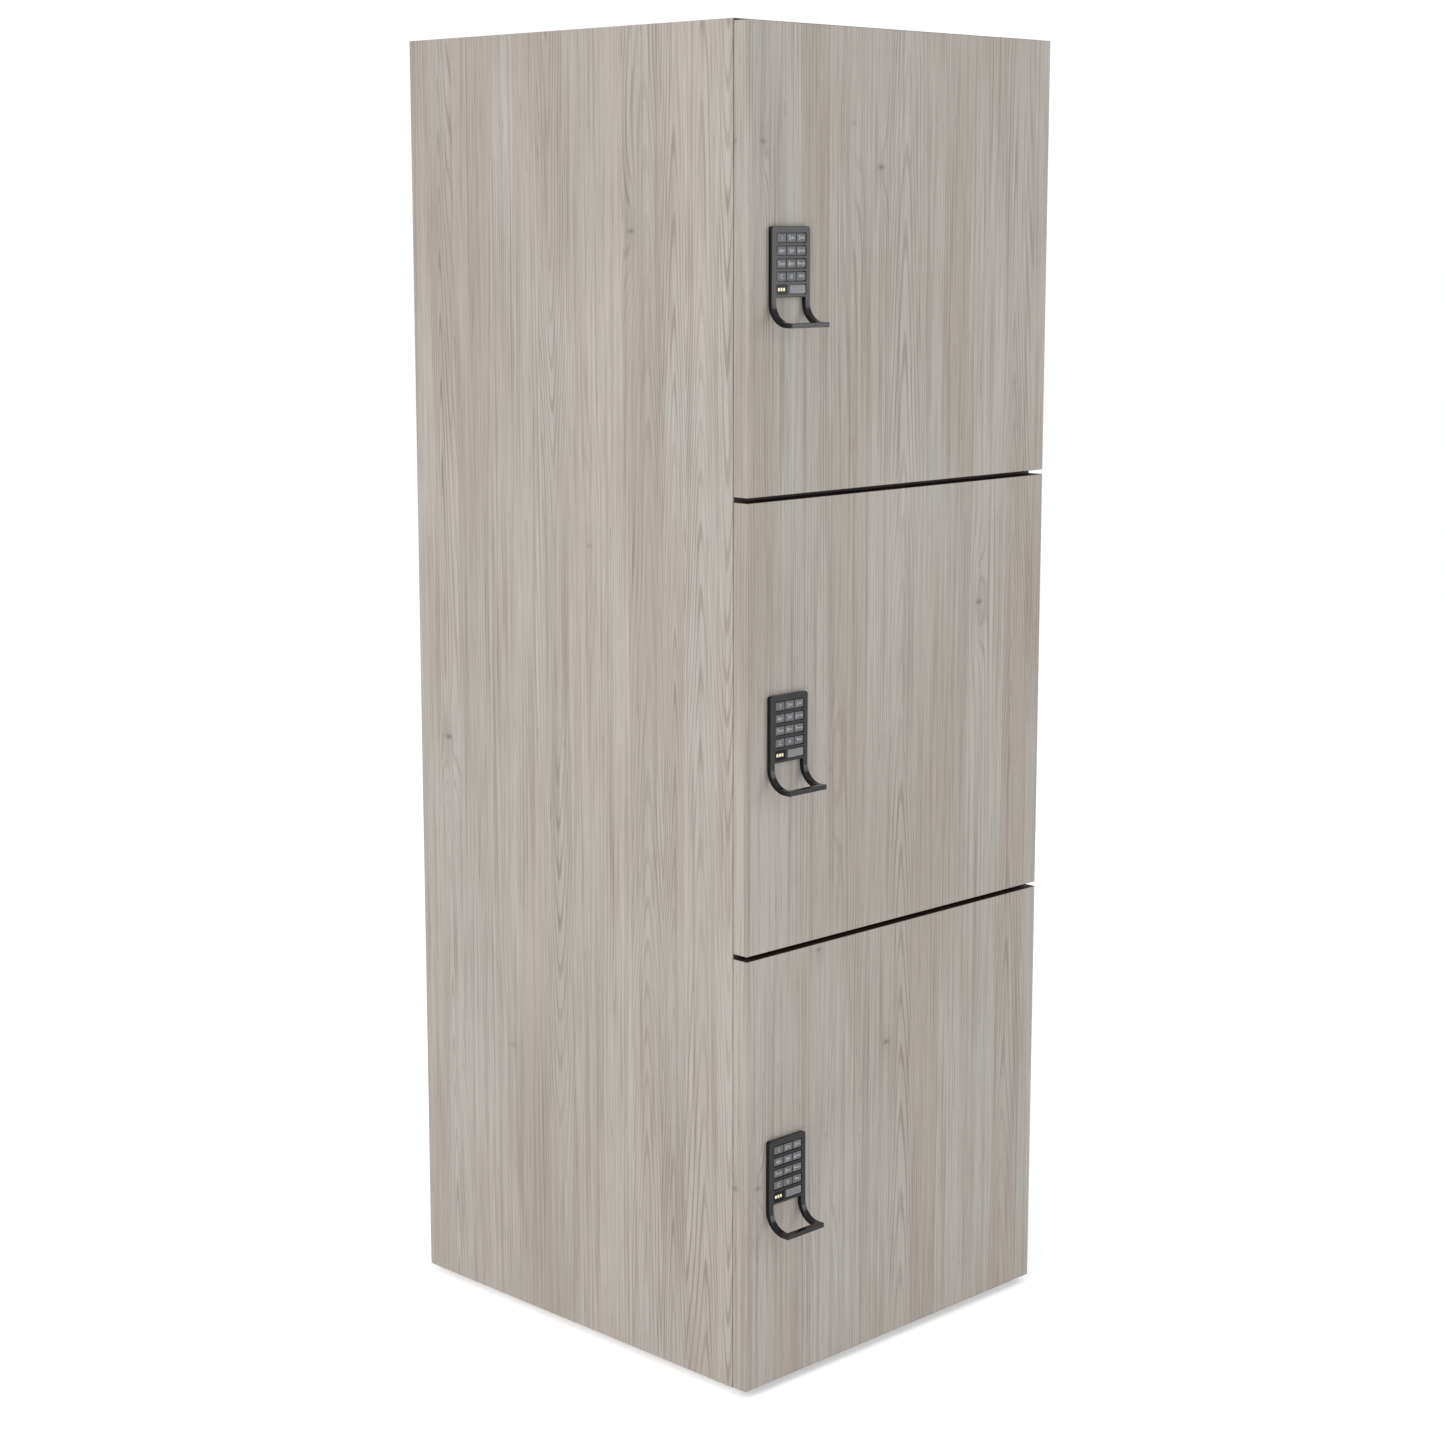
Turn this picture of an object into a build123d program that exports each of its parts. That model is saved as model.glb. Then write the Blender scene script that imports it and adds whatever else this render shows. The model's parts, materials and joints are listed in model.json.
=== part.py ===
"""Three-door personal locker with keypad locks: a panel carcass, hinged overlay doors and their locks.

Millimetres. +Z is up, the floor is z = 0, the doors face -Y and hinge on the +X side.
The origin is on the floor, under the middle of the whole object's box.
"""

import os

from build123d import *

# ---------------------------------------------------------------- driving dimensions

# carcass
board = 19.05
carcass_width = 457.2
carcass_depth = 487.4
carcass_height = 1371.6
back_thickness = 6.35
back_rabbet = 10.0
anchor_radius = 3.25
anchor_spacing = 300.0
anchor_drop = 70.0

# levelling glides
glide_height = 8.0
glide_inset = 45.0
glide_foot_radius = 17.0
glide_foot_height = 5.0
glide_foot_chamfer = 0.8
glide_collar_radius = 6.4
glide_collar_gap = 0.5
glide_stem_radius = 4.0
glide_stem_rise = 15.0
glide_hole_radius = 4.2
glide_hole_depth = 16.0

# doors
door_count = 3
door_top_reveal = 2.0
door_bottom_reveal = 0.6
door_side_reveal = 0.6
door_spacing = 5.0
door_gap = 0.5
door_edge_radius = 0.8

# hinges: two five-knuckle hinges on each door
hinge_inset = 90.0
hinge_height = 70.0
leaf_thickness = 2.0
frame_leaf_depth = 30.0
door_leaf_width = 45.0
barrel_radius = 4.5
barrel_side_gap = 0.25
pin_radius = 2.5
pin_running_clearance = 0.05
pin_head_height = 1.5
pin_head_radius = 3.6
pin_head_chamfer = 0.4
knuckle_count = 5
knuckle_gap = 0.3
screw_hole_radius = 2.1
screw_head_radius = 4.0
hinge_screw_rise = 22.0
frame_screw_setback = 19.0
door_screw_insets = (16.0, 34.0)

# lock front: keypad plate with the pull bent out of its lower end
lock_inset = 28.0
lock_drop = 192.7
lock_width = 53.8
lock_height = 96.6
plate_thickness = 4.7
pull_bend_radius = 24.0
pull_reach = 31.5
keypad_height = 67.9
rail_width = 6.5
crossbar_depth = 6.3
lock_corner_radius = 2.8
lock_edge_radius = 0.5
window_corner_radius = 0.9

# slots in the plate: four rows of keys above one display slot
slot_top = 5.9
slot_pitch = 12.35
slot_height = 10.1
slot_inset = 6.6
slot_width = 41.8
slot_corner_radius = 1.8
key_row_count = 4
display_depth = 1.2
cavity_depth = 2.6
cavity_margin = 4.0
cavity_overlap = 0.9

# keys
key_columns = 3
key_end_gap = 1.0
key_divider = 1.15
key_height = 8.0
key_recess = 0.1
key_corner_radius = 0.7
key_edge_radius = 0.3
key_flange_thickness = 0.8
key_flange_gap = 0.3
key_flange_overlap = 0.55
key_flange_spacing = 0.35

# lock fixing through the door
post_radius = 3.0
post_clearance = 0.4
post_bore_radius = 1.65
post_bore_depth = 14.0
upper_post_drop = 3.4
lower_post_drop = 60.7
cable_hole_radius = 7.0
cable_drop = 34.0

# lock rear unit, inside the compartment
case_width = 62.0
case_depth = 26.0
case_height = 108.0
case_overlap = 4.0
case_wall = 2.0
case_corner_radius = 4.0
case_edge_radius = 1.0
boss_radius = 4.5
boss_bore_radius = 2.1
boss_setback = 0.5
fixing_screw_radius = 1.6
fixing_screw_engagement = 10.0
fixing_head_radius = 3.6
fixing_head_height = 2.2
fixing_head_chamfer = 0.4
fixing_socket_radius = 1.75
fixing_socket_depth = 1.3
circuit_width = 52.0
circuit_height = 44.0
circuit_drop = 10.0
circuit_thickness = 1.6
circuit_gap = 2.0
battery_width = 46.0
battery_depth = 21.0
battery_height = 21.0
battery_gap = 0.5
battery_rise = 5.0
battery_edge_radius = 4.5
membrane_thickness = 0.4
membrane_lift = 0.05
membrane_margin = 0.3
ribbon_width = 9.0
ribbon_thickness = 0.5

# deadbolt and strike
bolt_length = 40.0
bolt_thickness = 6.0
bolt_height = 12.0
bolt_drop = 30.0
bolt_setback = 14.0
bolt_nose = 1.0
bolt_clearance = 0.3
bolt_nose_radius = 1.0
bolt_guide_overlap = 16.0
bolt_guide_thickness = 3.0
strike_thickness = 1.5
strike_width = 24.0
strike_height = 62.0
strike_slot_clearance = 1.0
strike_pocket_depth = 8.0
strike_screw_pitch = 46.0

# ---------------------------------------------------------------- planes and levels

barrel_outreach = barrel_side_gap + 2 * barrel_radius
overall_depth = pull_reach + board + door_gap + carcass_depth

left = -(carcass_width + barrel_outreach) / 2
right = left + carcass_width
middle_x = (left + right) / 2
inner_left = left + board
inner_right = right - board

back = overall_depth / 2
front = back - carcass_depth
door_back = front - door_gap
door_face = door_back - board

base = glide_height
top = base + carcass_height

door_left = left + door_side_reveal
door_right = right - door_side_reveal
doors_height = carcass_height - door_top_reveal - door_bottom_reveal
door_height = (doors_height - (door_count - 1) * door_spacing) / door_count

hinge_x = right + barrel_side_gap + barrel_radius
hinge_y = front - door_gap / 2

lock_left = door_left + lock_inset
lock_right = lock_left + lock_width
lock_middle = (lock_left + lock_right) / 2
case_left = lock_middle - case_width / 2
case_right = lock_middle + case_width / 2

key_width = (slot_width - 2 * key_end_gap - (key_columns - 1) * key_divider) / key_columns
key_pitch = key_width + key_divider
KEY_NAMES = [["1", "2", "3"], ["4", "5", "6"], ["7", "8", "9"], ["clear", "0", "enter"]]


def door_top_level(number):
    """Top of a door; door 1 is the uppermost."""
    return top - door_top_reveal - (number - 1) * (door_height + door_spacing)


def lock_top_level(number):
    """Top of the lock plate on a door."""
    return door_top_level(number) - lock_drop


def shelf_middle_levels():
    """A fixed shelf stands behind the middle of each gap between doors."""
    return [door_top_level(number) + door_spacing / 2 for number in range(2, door_count + 1)]


def hinge_middle_levels(number):
    """Middle heights of a door's upper and lower hinge."""
    upper = door_top_level(number) - hinge_inset
    lower = door_top_level(number) - door_height + hinge_inset
    return [upper, lower]


# ---------------------------------------------------------------- shared shapes


def block(x_range, y_range, z_range, mode=Mode.ADD):
    """Add or cut a box between two limits on each axis, in the current part."""
    ranges = (x_range, y_range, z_range)
    sizes = [high - low for low, high in ranges]
    centre = tuple((low + high) / 2 for low, high in ranges)
    with Locations(centre):
        Box(*sizes, mode=mode)


def rod(centre, radius, length, direction, mode=Mode.ADD):
    """Add or cut a cylinder that starts at a point and runs along a direction."""
    with Locations(Plane(origin=centre, z_dir=direction)):
        Cylinder(radius, length, align=(Align.CENTER, Align.CENTER, Align.MIN), mode=mode)


def screw_hole(mouth, outward, depth):
    """Cut a countersunk hole whose mouth faces outward."""
    with Locations(Plane(origin=mouth, z_dir=outward)):
        CounterSinkHole(screw_hole_radius, screw_head_radius, depth)


def save(part, name):
    """Label a finished piece and write it to its own STEP file."""
    part.label = name
    export_step(part, f"parts/{name}.step")


# ---------------------------------------------------------------- carcass


def back_edge_rabbet(x_range):
    """Cut the step that holds the back panel, over the full height of a side."""
    block(x_range, (back - back_thickness, back), (base, top), mode=Mode.SUBTRACT)


def make_left_side():
    """Left side: back rabbet, and a mortise and bolt pocket for each strike plate."""
    with BuildPart() as side:
        block((left, inner_left), (front, back), (base, top))
        back_edge_rabbet((inner_left - back_rabbet, inner_left))
        for number in range(1, door_count + 1):
            strike_z = lock_top_level(number) - bolt_drop
            strike_y = door_back + bolt_setback
            mortise = (inner_left - strike_thickness, inner_left)
            pocket = (inner_left - strike_pocket_depth, inner_left)
            slot_y = bolt_thickness / 2 + strike_slot_clearance
            slot_z = bolt_height / 2 + strike_slot_clearance
            block(
                mortise,
                (strike_y - strike_width / 2, strike_y + strike_width / 2),
                (strike_z - strike_height / 2, strike_z + strike_height / 2),
                mode=Mode.SUBTRACT,
            )
            block(
                pocket,
                (strike_y - slot_y, strike_y + slot_y),
                (strike_z - slot_z, strike_z + slot_z),
                mode=Mode.SUBTRACT,
            )
    return side.part


def make_right_side():
    """Right side: back rabbet, and a mortise in the front edge for each frame leaf."""
    with BuildPart() as side:
        block((inner_right, right), (front, back), (base, top))
        back_edge_rabbet((inner_right, inner_right + back_rabbet))
        for number in range(1, door_count + 1):
            for level in hinge_middle_levels(number):
                block(
                    (inner_right, right),
                    (front, front + leaf_thickness),
                    (level - hinge_height / 2, level + hinge_height / 2),
                    mode=Mode.SUBTRACT,
                )
    return side.part


def make_horizontal_board(low):
    """A board between the sides, in front of the back panel."""
    with BuildPart() as shelf:
        block((inner_left, inner_right), (front, back - back_thickness), (low, low + board))
    return shelf.part


def make_bottom_panel():
    """Bottom board with a blind hole for each glide stem."""
    with BuildPart() as bottom:
        block((inner_left, inner_right), (front, back - back_thickness), (base, base + board))
        for x, y in glide_places():
            rod((x, y, base), glide_hole_radius, glide_hole_depth, (0, 0, 1), mode=Mode.SUBTRACT)
    return bottom.part


def make_fixed_shelves():
    """Two boards behind the gaps between the doors."""
    with BuildPart() as shelves:
        for level in shelf_middle_levels():
            block(
                (inner_left, inner_right),
                (front, back - back_thickness),
                (level - board / 2, level + board / 2),
            )
    return shelves.part


def make_back_panel():
    """Thin back in the rabbets of the sides, with two wall-anchor holes near its top."""
    with BuildPart() as back_panel:
        block(
            (inner_left - back_rabbet, inner_right + back_rabbet),
            (back - back_thickness, back),
            (base, top),
        )
        for side in (-1, 1):
            mouth = (middle_x + side * anchor_spacing / 2, back - back_thickness, top - anchor_drop)
            rod(mouth, anchor_radius, back_thickness, (0, 1, 0), mode=Mode.SUBTRACT)
    return back_panel.part


def glide_places():
    """Middles of the four levelling glides."""
    xs = (inner_left + glide_inset, inner_right - glide_inset)
    ys = (front + glide_inset, back - back_thickness - glide_inset)
    return [(x, y) for x in xs for y in ys]


def make_levelling_glides():
    """Four glides: a foot, a hexagonal collar and a threaded stem in the bottom board."""
    with BuildPart() as glides:
        for x, y in glide_places():
            with BuildSketch(Plane.XY) as foot:
                with Locations((x, y)):
                    Circle(glide_foot_radius)
            extrude(amount=glide_foot_height)
            with BuildSketch(Plane.XY.offset(glide_foot_height)) as collar:
                with Locations((x, y)):
                    RegularPolygon(glide_collar_radius, 6)
            extrude(amount=base - glide_foot_height - glide_collar_gap)
            rod((x, y, 0), glide_stem_radius, base + glide_stem_rise, (0, 0, 1))
        rims = glides.edges().filter_by(GeomType.CIRCLE).filter_by(
            lambda edge: abs(edge.radius - glide_foot_radius) < 0.1
        )
        chamfer(rims, glide_foot_chamfer)
    return glides.part


# ---------------------------------------------------------------- hinges


def knuckle_ranges(level, first):
    """Height ranges of every second knuckle of a hinge, counted from its lowest."""
    pitch = (hinge_height + knuckle_gap) / knuckle_count
    low = level - hinge_height / 2
    return [
        (low + index * pitch, low + (index + 1) * pitch - knuckle_gap)
        for index in range(first, knuckle_count, 2)
    ]


def barrel_knuckles(ranges, arm_y):
    """Add the knuckles of one leaf, each on an arm that reaches in from the leaf."""
    for low, high in ranges:
        block((right, hinge_x), arm_y, (low, high))
        rod((hinge_x, hinge_y, low), barrel_radius, high - low, (0, 0, 1))


def make_hinge_frame_leaves():
    """Angle leaves that wrap the right side's front edge, with their knuckles and the pins."""
    front_flange = (front, front + leaf_thickness)
    with BuildPart() as leaves:
        for number in range(1, door_count + 1):
            for level in hinge_middle_levels(number):
                height = (level - hinge_height / 2, level + hinge_height / 2)
                block((inner_right - leaf_thickness, right), front_flange, height)
                block(
                    (inner_right - leaf_thickness, inner_right),
                    (front, front + frame_leaf_depth),
                    height,
                )
                barrel_knuckles(knuckle_ranges(level, 0), front_flange)
                rod(
                    (hinge_x, hinge_y, height[0]),
                    pin_radius,
                    hinge_height,
                    (0, 0, 1),
                    mode=Mode.SUBTRACT,
                )
                for rise in (-hinge_screw_rise, 0, hinge_screw_rise):
                    mouth = (inner_right - leaf_thickness, front + frame_screw_setback, level + rise)
                    screw_hole(mouth, (-1, 0, 0), leaf_thickness)
    with BuildPart() as pins:
        for number in range(1, door_count + 1):
            for level in hinge_middle_levels(number):
                low = level - hinge_height / 2
                rod((hinge_x, hinge_y, low), pin_radius, hinge_height, (0, 0, 1))
                rod((hinge_x, hinge_y, low + hinge_height), pin_head_radius, pin_head_height, (0, 0, 1))
        heads = pins.edges().filter_by(GeomType.CIRCLE).group_by(SortBy.RADIUS)[-1]
        chamfer(heads, pin_head_chamfer)
    return Compound(children=list(leaves.part.solids()) + list(pins.part.solids()))


def make_door_hinge_leaves(number):
    """Flat leaves let into the back of a door, with the two knuckles between the frame's three."""
    flange = (door_back - leaf_thickness, door_back)
    with BuildPart() as leaves:
        for level in hinge_middle_levels(number):
            height = (level - hinge_height / 2, level + hinge_height / 2)
            block((door_right - door_leaf_width, door_right), flange, height)
            for low, high in knuckle_ranges(level, 1):
                block((door_right, hinge_x), flange, (low, high))
                rod((hinge_x, hinge_y, low), barrel_radius, high - low, (0, 0, 1))
            bore = pin_radius + pin_running_clearance
            rod((hinge_x, hinge_y, height[0]), bore, hinge_height, (0, 0, 1), mode=Mode.SUBTRACT)
            for inset in door_screw_insets:
                for rise in (-hinge_screw_rise, hinge_screw_rise):
                    mouth = (door_right - inset, door_back, level + rise)
                    screw_hole(mouth, (0, 1, 0), leaf_thickness)
    return leaves.part


# ---------------------------------------------------------------- doors


def make_door(number):
    """Overlay door: rounded front edges, hinge mortises and the holes for its lock."""
    door_top = door_top_level(number)
    lock_top = lock_top_level(number)
    with BuildPart() as door:
        block((door_left, door_right), (door_face, door_back), (door_top - door_height, door_top))
        fillet(door.faces().sort_by(Axis.Y)[0].edges(), door_edge_radius)
        for level in hinge_middle_levels(number):
            block(
                (door_right - door_leaf_width, door_right),
                (door_back - leaf_thickness, door_back),
                (level - hinge_height / 2, level + hinge_height / 2),
                mode=Mode.SUBTRACT,
            )
        for drop in (upper_post_drop, lower_post_drop):
            mouth = (lock_middle, door_face, lock_top - drop)
            rod(mouth, post_radius + post_clearance, board, (0, 1, 0), mode=Mode.SUBTRACT)
        mouth = (lock_middle, door_face, lock_top - cable_drop)
        rod(mouth, cable_hole_radius, board, (0, 1, 0), mode=Mode.SUBTRACT)
    return door.part


# ---------------------------------------------------------------- lock front


def row_middle(lock_top, row):
    """Height of the middle of a slot; row 0 is the uppermost."""
    return lock_top - slot_top - row * slot_pitch - slot_height / 2


def make_pull_housing(number):
    """One casting: keypad plate, two side rails and the crossbar that is pulled."""
    lock_top = lock_top_level(number)
    lock_bottom = lock_top - lock_height
    keypad_bottom = lock_top - keypad_height
    face_y = door_face - plate_thickness
    crossbar_y = door_face - pull_reach + crossbar_depth
    tip_y = door_face - pull_reach
    bend_y = door_face - pull_bend_radius
    bend_z = lock_bottom + pull_bend_radius
    with BuildPart() as housing:
        with BuildSketch(Plane.YZ.offset(lock_left)):
            with BuildLine():
                Line((door_face, lock_top), (door_face, bend_z))
                CenterArc((bend_y, bend_z), pull_bend_radius, 0, -90)
                Polyline(
                    (bend_y, lock_bottom),
                    (tip_y, lock_bottom),
                    (tip_y, lock_bottom + plate_thickness),
                    (bend_y, lock_bottom + plate_thickness),
                )
                CenterArc((bend_y, bend_z), pull_bend_radius - plate_thickness, -90, 90)
                Polyline((face_y, bend_z), (face_y, lock_top), (door_face, lock_top))
            make_face()
        extrude(amount=lock_width)
        block(
            (lock_left + rail_width, lock_right - rail_width),
            (crossbar_y, door_face),
            (lock_bottom, keypad_bottom),
            mode=Mode.SUBTRACT,
        )
        top_corners = housing.edges().filter_by(Axis.Y).group_by(Axis.Z)[-1]
        fillet(top_corners, lock_corner_radius)
        tip_corners = housing.faces().sort_by(Axis.Y)[0].edges().filter_by(Axis.Z)
        fillet(tip_corners, window_corner_radius)
        outline = (
            housing.faces().filter_by(Axis.Y).filter_by(lambda face: abs(face.center().Y - face_y) < 0.01)
        )
        fillet(outline.edges().filter_by(lambda edge: edge.center().Z > bend_z + 1), lock_edge_radius)
        fillet(housing.faces().sort_by(Axis.Y)[0].edges().filter_by(Axis.X), lock_edge_radius)
        with BuildSketch(Plane.XZ.offset(-face_y)):
            for row in range(key_row_count):
                with Locations((lock_left + slot_inset + slot_width / 2, row_middle(lock_top, row))):
                    RectangleRounded(slot_width, slot_height, slot_corner_radius)
        extrude(amount=-plate_thickness, mode=Mode.SUBTRACT)
        with BuildSketch(Plane.XZ.offset(-face_y)):
            with Locations((lock_left + slot_inset + slot_width / 2, row_middle(lock_top, key_row_count))):
                RectangleRounded(slot_width, slot_height, slot_corner_radius)
        extrude(amount=-display_depth, mode=Mode.SUBTRACT)
        last_key_slot = row_middle(lock_top, key_row_count - 1) - slot_height / 2
        block(
            (lock_left + cavity_margin, lock_right - cavity_margin),
            (door_face - cavity_depth, door_face),
            (last_key_slot - cavity_overlap, lock_top - slot_top + cavity_overlap),
            mode=Mode.SUBTRACT,
        )
        for drop in (upper_post_drop, lower_post_drop):
            rod((lock_middle, door_face, lock_top - drop), post_radius, board, (0, 1, 0))
            end = (lock_middle, door_back, lock_top - drop)
            rod(end, post_bore_radius, post_bore_depth, (0, -1, 0), mode=Mode.SUBTRACT)
    return housing.part


def make_key(number, row, column):
    """A key cap with a flange behind the plate that keeps it in its slot."""
    cap_left = lock_left + slot_inset + key_end_gap + column * key_pitch
    x = cap_left + key_width / 2
    z = row_middle(lock_top_level(number), row)
    flange_front = door_face - cavity_depth + key_flange_gap
    flange_back = flange_front + key_flange_thickness
    cap_front = door_face - plate_thickness + key_recess
    with BuildPart() as key:
        with BuildSketch(Plane.XZ.offset(-flange_back)):
            with Locations((x, z)):
                RectangleRounded(key_width, key_height, key_corner_radius)
        extrude(amount=flange_back - cap_front)
        fillet(key.faces().sort_by(Axis.Y)[0].edges(), key_edge_radius)
        flange_width = key_pitch - key_flange_spacing
        flange_height = slot_height + 2 * key_flange_overlap
        block(
            (x - flange_width / 2, x + flange_width / 2),
            (flange_front, flange_back),
            (z - flange_height / 2, z + flange_height / 2),
        )
    return key.part


# ---------------------------------------------------------------- lock rear unit


def make_rear_case(number):
    """Case behind the door: open towards it, with two screw bosses and guides for the bolt."""
    lock_top = lock_top_level(number)
    case_top = lock_top + case_overlap
    case_bottom = case_top - case_height
    case_back = door_back + case_depth
    bolt_y = door_back + bolt_setback
    bolt_z = lock_top - bolt_drop
    slot_y = bolt_thickness / 2 + bolt_clearance
    slot_z = bolt_height / 2 + bolt_clearance
    guide_left = case_left + bolt_length - bolt_guide_overlap
    with BuildPart() as case:
        block((case_left, case_right), (door_back, case_back), (case_bottom, case_top))
        fillet(case.edges().filter_by(Axis.Y), case_corner_radius)
        fillet(case.faces().sort_by(Axis.Y)[-1].edges(), case_edge_radius)
        block(
            (case_left + case_wall, case_right - case_wall),
            (door_back, case_back - case_wall),
            (case_bottom + case_wall, case_top - case_wall),
            mode=Mode.SUBTRACT,
        )
        block(
            (guide_left, guide_left + bolt_guide_thickness),
            (bolt_y - bolt_thickness, case_back - case_wall),
            (bolt_z - bolt_height, bolt_z + bolt_height),
        )
        block(
            (case_left, guide_left + bolt_guide_thickness),
            (bolt_y - slot_y, bolt_y + slot_y),
            (bolt_z - slot_z, bolt_z + slot_z),
            mode=Mode.SUBTRACT,
        )
        for drop in (upper_post_drop, lower_post_drop):
            rod((lock_middle, door_back, lock_top - drop), boss_radius, case_depth - boss_setback, (0, 1, 0))
            rod(
                (lock_middle, door_back, lock_top - drop),
                boss_bore_radius,
                case_depth,
                (0, 1, 0),
                mode=Mode.SUBTRACT,
            )
    return case.part


def make_lock_internals(number):
    """Circuit board, battery pack, key membrane with its ribbon, and the two fixing screws."""
    lock_top = lock_top_level(number)
    case_bottom = lock_top + case_overlap - case_height
    case_back = door_back + case_depth
    circuit_front = door_back + circuit_gap
    with BuildPart() as circuit_board:
        block(
            (lock_middle - circuit_width / 2, lock_middle + circuit_width / 2),
            (circuit_front, circuit_front + circuit_thickness),
            (lock_top - circuit_drop - circuit_height, lock_top - circuit_drop),
        )
    battery_back = case_back - case_wall - battery_gap
    battery_bottom = case_bottom + battery_rise
    with BuildPart() as battery_pack:
        block(
            (lock_middle - battery_width / 2, lock_middle + battery_width / 2),
            (battery_back - battery_depth, battery_back),
            (battery_bottom, battery_bottom + battery_height),
        )
        fillet(battery_pack.edges().filter_by(Axis.X), battery_edge_radius)
    with BuildPart() as membrane:
        last_key_slot = row_middle(lock_top, key_row_count - 1) - slot_height / 2
        sheet_back = door_face - membrane_lift
        sheet_inset = cavity_margin + membrane_margin
        sheet_overlap = cavity_overlap - membrane_margin
        block(
            (lock_left + sheet_inset, lock_right - sheet_inset),
            (sheet_back - membrane_thickness, sheet_back),
            (last_key_slot - sheet_overlap, lock_top - slot_top + sheet_overlap),
        )
        ribbon_z = lock_top - cable_drop
        block(
            (lock_middle - ribbon_width / 2, lock_middle + ribbon_width / 2),
            (sheet_back - membrane_thickness, circuit_front),
            (ribbon_z - ribbon_thickness / 2, ribbon_z + ribbon_thickness / 2),
        )
    with BuildPart() as screws:
        for drop in (upper_post_drop, lower_post_drop):
            head = (lock_middle, case_back, lock_top - drop)
            rod(head, fixing_screw_radius, case_depth + fixing_screw_engagement, (0, -1, 0))
            rod(head, fixing_head_radius, fixing_head_height, (0, 1, 0))
        rims = screws.faces().sort_by(Axis.Y).filter_by(Axis.Y)[-2:].edges()
        chamfer(rims, fixing_head_chamfer)
        with BuildSketch(Plane.XZ.offset(-case_back - fixing_head_height)):
            for drop in (upper_post_drop, lower_post_drop):
                with Locations((lock_middle, lock_top - drop)):
                    RegularPolygon(fixing_socket_radius, 6)
        extrude(amount=fixing_socket_depth, mode=Mode.SUBTRACT)
    pieces = (circuit_board, battery_pack, membrane, screws)
    return [solid for piece in pieces for solid in piece.part.solids()]


def make_rear_unit(number):
    """The rear case with what it holds, as separate solids of one piece group."""
    case = make_rear_case(number)
    return Compound(children=list(case.solids()) + make_lock_internals(number))


def make_bolt(number):
    """Deadbolt, drawn back so that only its nose shows; it slides towards the left side."""
    bolt_y = door_back + bolt_setback
    bolt_z = lock_top_level(number) - bolt_drop
    nose = case_left - bolt_nose
    with BuildPart() as bolt:
        block(
            (nose, nose + bolt_length),
            (bolt_y - bolt_thickness / 2, bolt_y + bolt_thickness / 2),
            (bolt_z - bolt_height / 2, bolt_z + bolt_height / 2),
        )
        fillet(bolt.faces().sort_by(Axis.X)[0].edges(), bolt_nose_radius)
    return bolt.part


def make_strike_plates():
    """Plates let into the left side's inner face, each with a slot that takes the bolt."""
    with BuildPart() as strikes:
        for number in range(1, door_count + 1):
            y = door_back + bolt_setback
            z = lock_top_level(number) - bolt_drop
            slot_y = bolt_thickness / 2 + strike_slot_clearance
            slot_z = bolt_height / 2 + strike_slot_clearance
            block(
                (inner_left - strike_thickness, inner_left),
                (y - strike_width / 2, y + strike_width / 2),
                (z - strike_height / 2, z + strike_height / 2),
            )
            block(
                (inner_left - strike_thickness, inner_left),
                (y - slot_y, y + slot_y),
                (z - slot_z, z + slot_z),
                mode=Mode.SUBTRACT,
            )
            for side in (-1, 1):
                mouth = (inner_left, y, z + side * strike_screw_pitch / 2)
                screw_hole(mouth, (1, 0, 0), strike_thickness)
    return strikes.part


# ---------------------------------------------------------------- build and write every piece

os.makedirs("parts", exist_ok=True)

save(make_left_side(), "left_side_panel")
save(make_right_side(), "right_side_panel")
save(make_horizontal_board(top - board), "top_panel")
save(make_bottom_panel(), "bottom_panel")
save(make_fixed_shelves(), "fixed_shelves")
save(make_back_panel(), "back_panel")
save(make_levelling_glides(), "levelling_glides")
save(make_hinge_frame_leaves(), "hinge_frame_leaves")
save(make_strike_plates(), "strike_plates")

for number in range(1, door_count + 1):
    save(make_door(number), f"door_{number}_panel")
    save(make_door_hinge_leaves(number), f"door_{number}_hinge_leaves")
    save(make_pull_housing(number), f"lock_{number}_pull_housing")
    save(make_rear_unit(number), f"lock_{number}_rear_unit")
    save(make_bolt(number), f"lock_{number}_bolt")
    for row, names in enumerate(KEY_NAMES):
        for column, name in enumerate(names):
            save(make_key(number, row, column), f"lock_{number}_key_{name}")
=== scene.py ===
"""Looks for the three-door keypad locker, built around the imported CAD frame. Metres, +Z up, doors face -Y."""
import json
import math

import bmesh
import bpy
from mathutils import Matrix, Vector


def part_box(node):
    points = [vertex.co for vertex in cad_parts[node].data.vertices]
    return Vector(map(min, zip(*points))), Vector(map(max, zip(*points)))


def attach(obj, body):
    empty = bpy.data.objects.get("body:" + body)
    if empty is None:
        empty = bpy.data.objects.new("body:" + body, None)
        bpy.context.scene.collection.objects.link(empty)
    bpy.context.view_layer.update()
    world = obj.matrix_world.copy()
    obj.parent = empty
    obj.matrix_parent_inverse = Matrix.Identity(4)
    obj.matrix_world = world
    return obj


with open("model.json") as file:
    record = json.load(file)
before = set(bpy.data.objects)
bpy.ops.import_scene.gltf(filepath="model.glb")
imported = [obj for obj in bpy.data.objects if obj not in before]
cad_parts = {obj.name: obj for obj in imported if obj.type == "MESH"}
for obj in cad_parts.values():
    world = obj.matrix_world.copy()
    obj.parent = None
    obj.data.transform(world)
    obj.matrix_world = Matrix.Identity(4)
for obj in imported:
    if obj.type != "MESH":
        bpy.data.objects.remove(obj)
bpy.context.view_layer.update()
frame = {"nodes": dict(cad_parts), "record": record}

MM = 0.001
nodes = frame["nodes"]
DOORS = (1, 2, 3)

# ---------------------------------------------------------------- places read from the frame

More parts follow.
